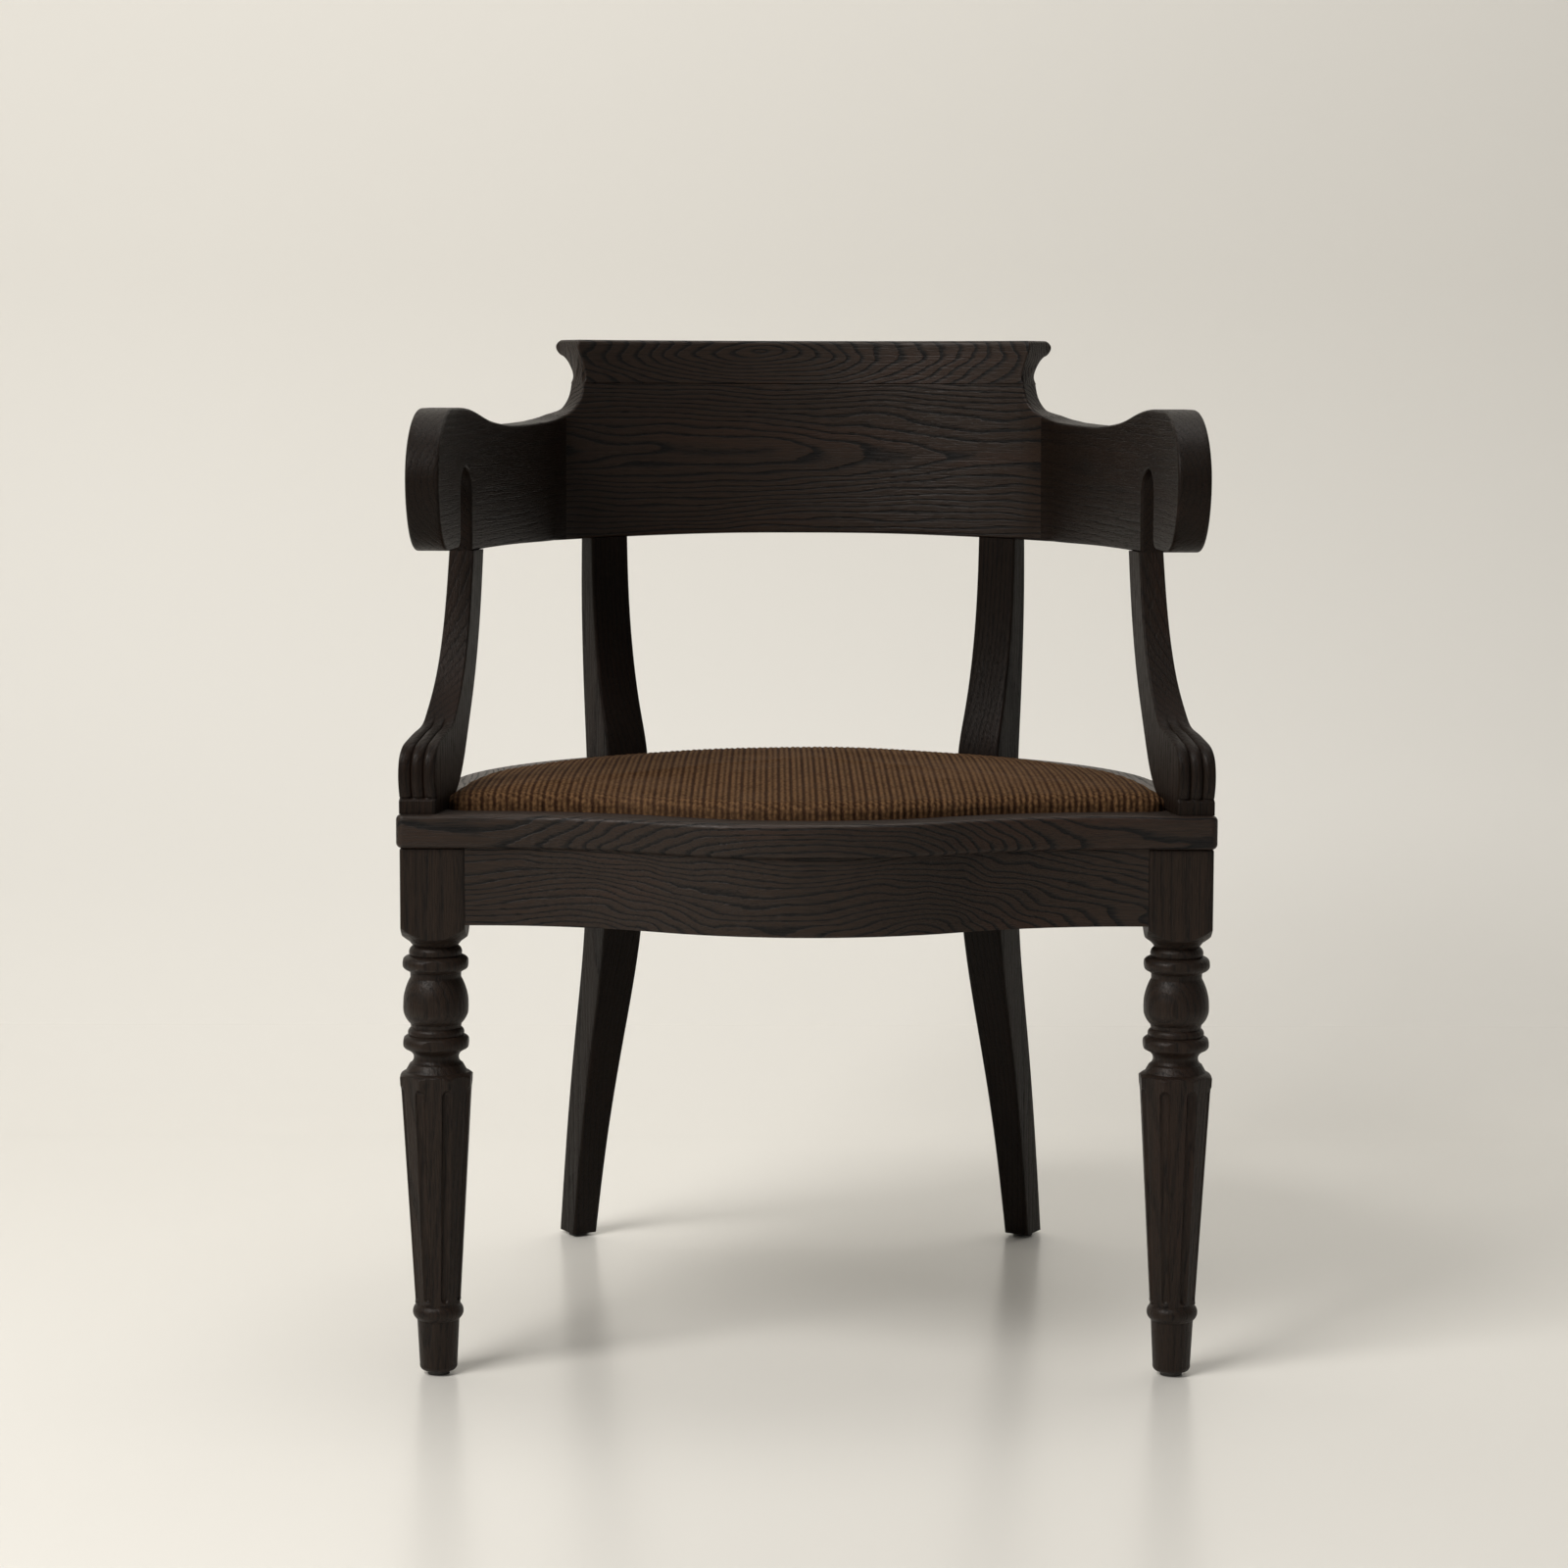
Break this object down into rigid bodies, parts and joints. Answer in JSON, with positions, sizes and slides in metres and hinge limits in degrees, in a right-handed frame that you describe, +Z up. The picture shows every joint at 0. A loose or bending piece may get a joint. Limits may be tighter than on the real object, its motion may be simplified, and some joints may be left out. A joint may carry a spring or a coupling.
{
  "type": "klismos armchair",
  "caption": "Dark oak klismos armchair with a horseshoe rail, scrolled slotted arm ends, eared crest, fluted front legs, sabre rear legs and a crowned ribbed seat",
  "frame": {"origin": "middle of the floor plane under the chair's bounding box", "axes": "+Z up, -Y to the front of the chair, +X to the right as seen from the front"},
  "size_m": [0.619, 0.5964, 0.796],
  "materials": {
    "dark_wood": "open-grain oak stained near black, satin",
    "beech": "plain beech, unfinished",
    "plywood": "birch plywood, unfinished",
    "foam": "open-cell upholstery foam",
    "chenille": "ribbed brown chenille",
    "lining": "black lining cloth",
    "screw_steel": "bright zinc-plated steel",
    "glide_nylon": "dark moulded nylon"
  },
  "bodies": {
    "root": {"arm_rail_left": "dark_wood", "arm_rail_right": "dark_wood", "arm_support_left": "dark_wood", "arm_support_right": "dark_wood", "back_apron": "dark_wood", "back_apron_dowels": "beech", "back_rail": "dark_wood", "block_screws": "screw_steel", "crest_tablet": "dark_wood", "dust_cover": "lining", "front_apron": "dark_wood", "front_apron_dowels": "beech", "front_corner_block_left": "beech", "front_corner_block_right": "beech", "front_leg_left": "dark_wood", "front_leg_right": "dark_wood", "glides": "glide_nylon", "post_top_dowels": "beech", "rail_joint_dowels": "beech", "rear_corner_block_left": "beech", "rear_corner_block_right": "beech", "rear_leg_left": "dark_wood", "rear_leg_right": "dark_wood", "rim_back": "dark_wood", "rim_dowels": "beech", "rim_front": "dark_wood", "rim_side_left": "dark_wood", "rim_side_right": "dark_wood", "seat_board": "plywood", "seat_cover": "chenille", "seat_foam": "foam", "seat_screws": "screw_steel", "side_apron_dowels": "beech", "side_apron_left": "dark_wood", "side_apron_right": "dark_wood", "support_foot_dowels": "beech", "support_top_dowels": "beech", "tablet_dowels": "beech"}
  },
  "joints": []
}
